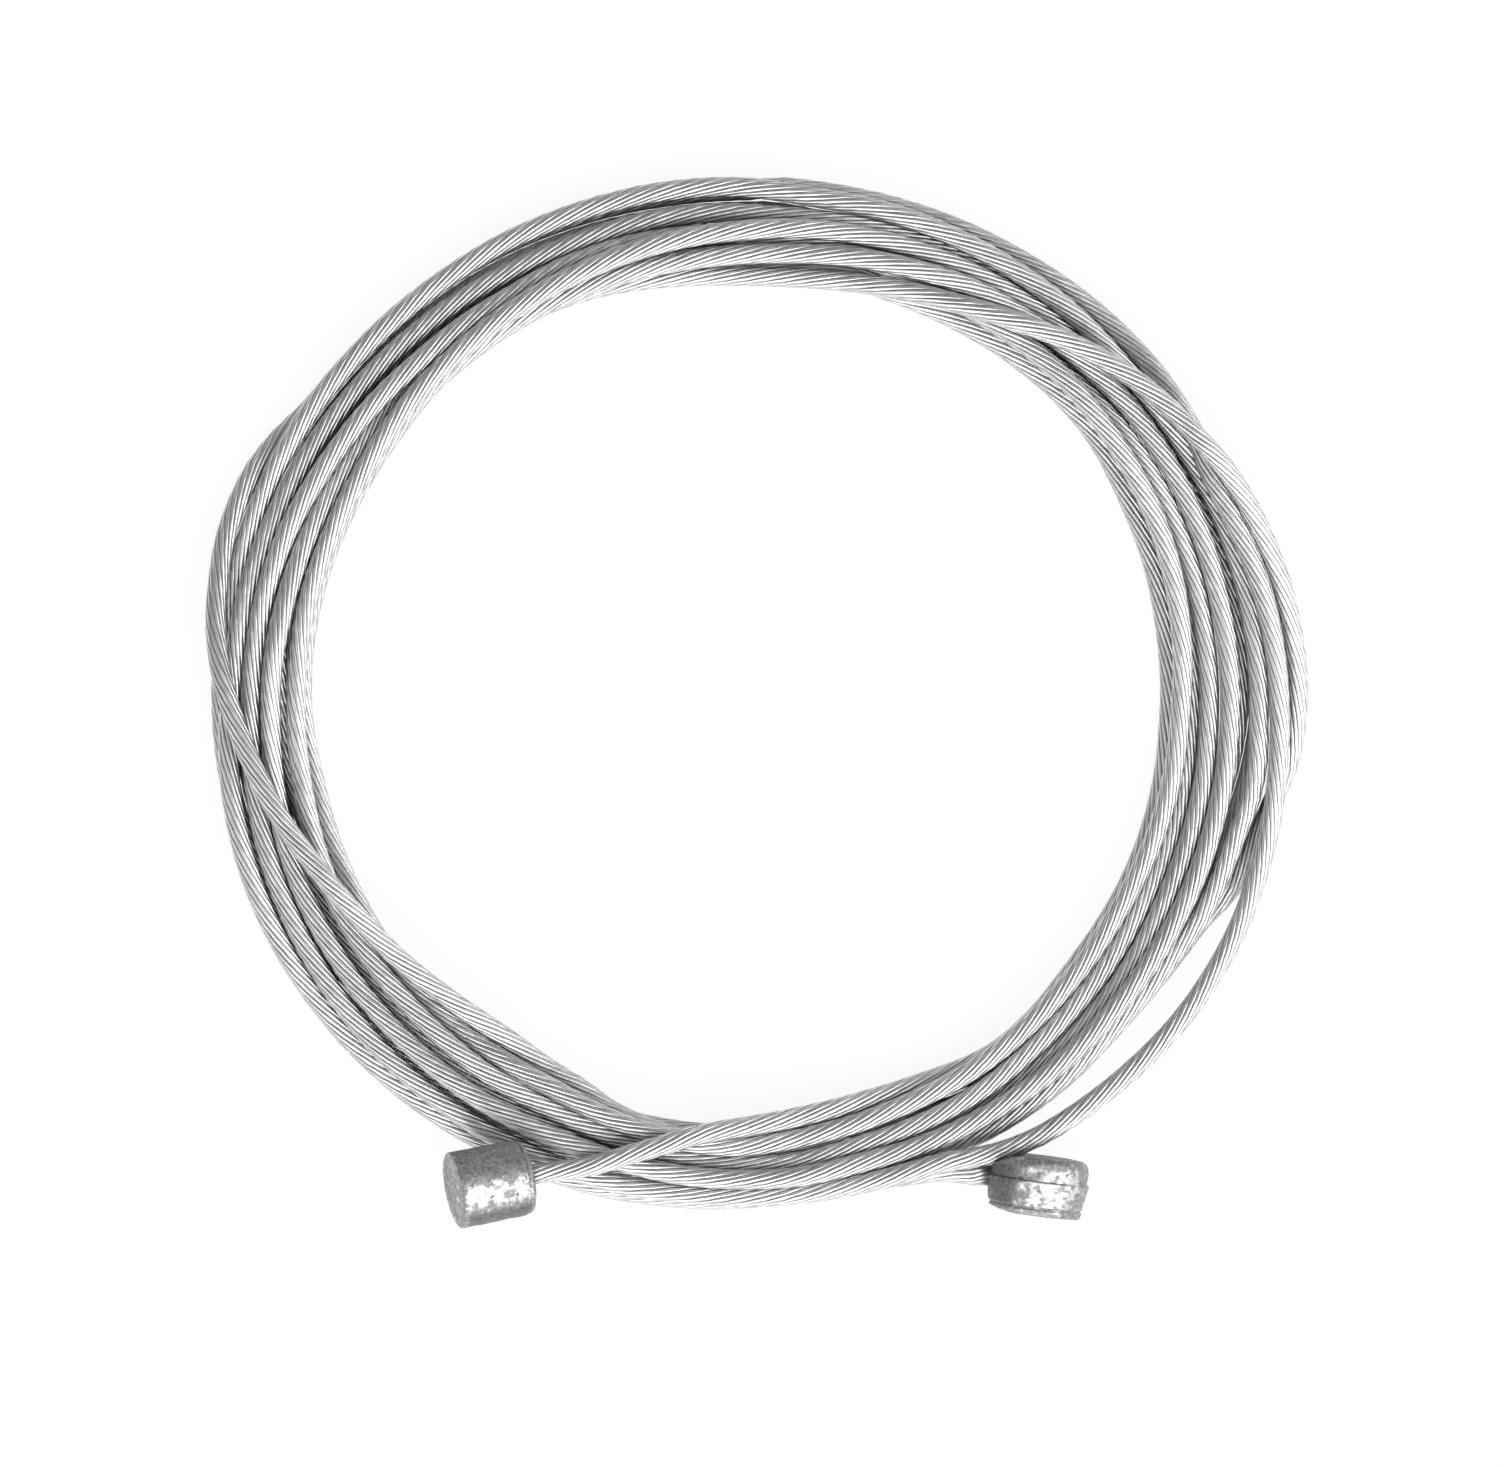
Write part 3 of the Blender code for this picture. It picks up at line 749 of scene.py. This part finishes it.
def trim_cable_side(mesh, centre, frame_axes, half):
    """Round off the barrel head's ends on the side where the cable enters.

    At a distance s from the axis towards the cable, an end of the head loses depth ((s - start) / reach)^2
    of its length, and points beyond that are moved back along the axis.
    """
    axis, side, _ = frame_axes
    points = np.empty(3 * len(mesh.vertices))
    mesh.vertices.foreach_get("co", points)
    points = points.reshape(-1, 3)
    along = (points - centre) @ axis
    toward = (points - centre) @ side
    start, reach, depth = COIL_SIDE_ROUNDING
    low = -half + depth * (np.maximum(toward - start, 0.0) / reach) ** 2
    trimmed_side = toward > start
    start, reach, depth = FREE_SIDE_ROUNDING
    high = half - depth * (np.maximum(toward - start, 0.0) / reach) ** 2
    trimmed = np.where(trimmed_side, np.clip(along, low, high), along)
    points += (trimmed - along)[:, None] * axis
    mesh.vertices.foreach_set("co", points.ravel())
    mesh.update()


def rounded_outline(corners):
    """Return an outline with rounded corners, from (place along, radius, corner size) of each corner.

    Each corner is a quadratic curve from a point on the line before it, pulled towards the corner, to a
    point on the line after it. A corner of size zero stays sharp.
    """
    corners = np.array(corners, float)
    t = np.linspace(0.0, 1.0, CORNER_POINTS)[:, None]
    outline = [corners[0, :2]]
    for before, here, after in zip(corners, corners[1:], corners[2:]):
        if here[2] == 0.0:
            outline.append(here[:2])
            continue
        to_before, to_after = before[:2] - here[:2], after[:2] - here[:2]
        start = here[:2] + to_before / np.hypot(*to_before) * here[2]
        stop = here[:2] + to_after / np.hypot(*to_after) * here[2]
        outline.extend((1 - t) ** 2 * start + 2 * t * (1 - t) * here[:2] + t**2 * stop)
    outline.append(corners[-1, :2])
    outline = np.array(outline)
    keep = np.concatenate([[True], np.linalg.norm(np.diff(outline, axis=0), axis=1) > SAME_POINT])
    return outline[keep]


def fine_outline(outline):
    """Return an outline with extra points, so that no two neighbours are further apart than a spacing."""
    fine = [outline[:1]]
    for start, stop in zip(outline, outline[1:]):
        pieces = max(1, int(np.ceil(np.linalg.norm(stop - start) / OUTLINE_SPACING)))
        fine.append(start + (stop - start) * np.linspace(0.0, 1.0, pieces + 1)[1:, None])
    return np.vstack(fine)


def head_frame(mount_name, length):
    """Return a head's middle and its axes, from the flat end face that the model's record gives."""
    mount = MOUNTS[mount_name]
    axis = np.array(mount["axis"])
    side = np.cross(axis, (0.0, 0.0, 1.0))
    side /= np.linalg.norm(side)
    up = np.cross(side, axis)
    return np.array(mount["pos_m"]) - axis * length / 2.0, (axis, side, up)


class SHIFTCABLE_OT_strand(bpy.types.Operator):
    """Make the twisted strand along its settled turns"""

    bl_idname = "shiftcable.strand"
    bl_label = "Twisted strand"

    def execute(self, context):
        settings = context.scene.shiftcable_strand
        route = lengthened(strand_route(settings.diameter), STRAND_IN_HEAD)
        mesh, centres = strand_mesh("strand", route, settings)
        replaced = ("cable_coil", "cable_end_to_cylinder", "cable_end_to_barrel")
        piece = add_piece("strand", mesh, strand_material(settings), replaced)
        return {"FINISHED"}


class SHIFTCABLE_OT_cylinder_head(bpy.types.Operator):
    """Make the head that is cast in line with the cable"""

    bl_idname = "shiftcable.cylinder_head"
    bl_label = "Cylinder head"

    def execute(self, context):
        settings = context.scene.shiftcable_heads
        length, radius = settings.cylinder_length, settings.cylinder_diameter / 2.0
        centre, axes = head_frame("cylinder_head_end_face", length)
        half = length / 2.0
        # From the outer end, dished in its middle, along the side and over a lip to the collar at the cable
        corners = (
            (half - 0.00006, CAP_RADIUS, 0.0),
            (half - 0.00006, radius * 0.55, 0.0001),
            (half, radius * 0.7, 0.0002),
            (half, radius, 0.00018),
            (-half + 0.0004, radius * 0.985, 0.00006),
            (-half + 0.00033, radius * 0.93, 0.00005),
            (-half + 0.00026, radius * 0.965, 0.00005),
            (-half, radius * 0.94, 0.00018),
            (-half, radius * 0.4, 0.0001),
            (-half - 0.00012, 0.0008, 0.00006),
            (-half - 0.00012, CAP_RADIUS, 0.0),
        )
        outline = fine_outline(rounded_outline(corners))
        mesh = turned_head("cylinder_head_casting", outline, axes, centre, seed=5, lump_height=0.000028)
        # A painted highlight band near the top, and painted shade along one flank
        material = zinc_material(
            "cast_zinc_cylinder", settings,
            sheen_middle=0.289, sheen_width=0.062, shade_middle=0.5, shade_width=0.13, reach=0.24,
        )
        add_piece("cylinder_head_casting", mesh, material, ("cylinder_head",))
        return {"FINISHED"}


class SHIFTCABLE_OT_barrel_head(bpy.types.Operator):
    """Make the head that is cast crosswise to the cable"""

    bl_idname = "shiftcable.barrel_head"
    bl_label = "Barrel head"

    def execute(self, context):
        settings = context.scene.shiftcable_heads
        length, radius = settings.barrel_length, settings.barrel_diameter / 2.0
        centre, axes = head_frame("barrel_head_end_face", length)
        half = length / 2.0
        # From the free end over its lip and groove to the step at the parting line and the rounded other end
        corners = (
            (half, CAP_RADIUS, 0.0),
            (half, radius * 0.885, 0.0001),
            (half - 0.00036, radius * 0.92, 0.0001),
            (half - 0.00045, radius * 0.88, 0.00006),
            (half - 0.00054, radius * 0.93, 0.0001),
            (-0.0003, radius * 1.01, 0.00008),
            (-0.00036, radius * 0.96, 0.00003),
            (-half, radius * 0.955, 0.0006),
            (-half, CAP_RADIUS, 0.0),
        )
        outline = fine_outline(rounded_outline(corners))
        mesh = turned_head(
            "barrel_head_casting", outline, axes, centre, seed=11, lump_height=0.00003, around=144
        )
        trim_cable_side(mesh, centre, axes, half)
        # A painted highlight band near the top, and painted shade along the flank towards the cable
        material = zinc_material(
            "cast_zinc_barrel", settings,
            sheen_middle=0.3, sheen_width=0.12, shade_middle=0.0, shade_width=0.165, reach=0.16,
        )
        add_piece("barrel_head_casting", mesh, material, ("barrel_head",))
        return {"FINISHED"}


def add_camera(settings):
    """Add the camera, which looks straight down."""
    camera = bpy.data.cameras.new("overhead_camera")
    camera.lens = settings.lens
    camera.sensor_width = SENSOR_WIDTH
    camera.clip_end = FAR_LIMIT
    view = bpy.data.objects.new("overhead_camera", camera)
    distance = settings.lens * settings.view_width / camera.sensor_width
    view.location = (
        RING_CENTRE.x + FRAME_MIDDLE[0],
        RING_CENTRE.y + FRAME_MIDDLE[1],
        FULL_WIDTH_HEIGHT + distance,
    )
    bpy.context.scene.collection.objects.link(view)
    bpy.context.scene.camera = view


def floor_material():
    """White floor: mostly plain white to the camera, with a share that keeps the shadow."""
    sheet = NodeSheet("white_floor")
    sheet.surface({"Base Color": (0.94, 0.94, 0.94, 1.0), "Roughness": 0.9, "Specular IOR Level": 0.0})
    rays = sheet.add("ShaderNodeLightPath")
    white = sheet.add("ShaderNodeEmission", {"Color": (1.0, 1.0, 1.0, 1.0), "Strength": 1.0})
    share = sheet.math("MULTIPLY", rays.outputs["Is Camera Ray"], PLAIN_WHITE)
    blend = sheet.add("ShaderNodeMixShader", {0: share, 1: sheet.shader.outputs[0], 2: white.outputs[0]})
    sheet.join(blend.outputs[0], sheet.tree.nodes["Material Output"].inputs["Surface"])
    return sheet.material


def add_soft_box(name, direction, distance, width, height, radiance):
    """Add a rectangular lamp that faces the ring's middle from a direction."""
    lamp = bpy.data.lights.new(name, "AREA")
    lamp.shape = "RECTANGLE"
    lamp.size = width
    lamp.size_y = height
    lamp.energy = radiance * np.pi * width * height
    box = bpy.data.objects.new(name, lamp)
    back = Vector(direction).normalized()
    box.location = RING_CENTRE + back * distance
    box.rotation_euler = back.to_track_quat("Z", "Y").to_euler()
    bpy.context.scene.collection.objects.link(box)


def white_room(radiance):
    """Return a world that lights the scene white from everywhere."""
    world = bpy.data.worlds.new("room")
    world.use_nodes = True
    background = world.node_tree.nodes["Background"]
    background.inputs["Color"].default_value = (1.0, 1.0, 1.0, 1.0)
    background.inputs["Strength"].default_value = radiance
    return world


class SHIFTCABLE_OT_studio(bpy.types.Operator):
    """Make the camera, the floor, the soft boxes and the room light"""

    bl_idname = "shiftcable.studio"
    bl_label = "Studio"

    def execute(self, context):
        scene = context.scene
        settings = scene.shiftcable_studio
        add_camera(settings)
        bpy.ops.mesh.primitive_plane_add(size=settings.floor_size)
        floor = context.object
        floor.name = "floor"
        floor.data.materials.append(floor_material())
        for side, placing in SOFT_BOXES.items():
            add_soft_box(f"{side}_soft_box", *placing, getattr(settings, f"{side}_radiance"))
        scene.world = white_room(settings.world_radiance)
        scene.view_settings.view_transform = "Standard"
        return {"FINISHED"}


class SHIFTCABLE_PT_panel(bpy.types.Panel):
    """Lists the pieces of the shift cable"""

    bl_idname = "SHIFTCABLE_PT_panel"
    bl_label = "Shift cable"
    bl_space_type = "VIEW_3D"
    bl_region_type = "UI"
    bl_category = "Shift cable"

    def draw(self, context):
        for operator in OPERATORS:
            self.layout.operator(operator.bl_idname)


SETTINGS = {
    "shiftcable_strand": StrandSettings,
    "shiftcable_heads": HeadSettings,
    "shiftcable_studio": StudioSettings,
}
OPERATORS = (
    SHIFTCABLE_OT_studio,
    SHIFTCABLE_OT_cylinder_head,
    SHIFTCABLE_OT_barrel_head,
    SHIFTCABLE_OT_strand,
)


def register():
    """Register the settings, the operators and the panel."""
    for name, settings in SETTINGS.items():
        bpy.utils.register_class(settings)
        setattr(bpy.types.Scene, name, PointerProperty(type=settings))
    for operator in OPERATORS:
        bpy.utils.register_class(operator)
    bpy.utils.register_class(SHIFTCABLE_PT_panel)


def unregister():
    """Remove what register added."""
    bpy.utils.unregister_class(SHIFTCABLE_PT_panel)
    for operator in reversed(OPERATORS):
        bpy.utils.unregister_class(operator)
    for name, settings in SETTINGS.items():
        delattr(bpy.types.Scene, name)
        bpy.utils.unregister_class(settings)


def main():
    """Make every piece and the studio."""
    register()
    bpy.ops.shiftcable.studio()
    bpy.ops.shiftcable.cylinder_head()
    bpy.ops.shiftcable.barrel_head()
    bpy.ops.shiftcable.strand()
    bpy.context.view_layer.update()


if __name__ == "__main__":
    main()
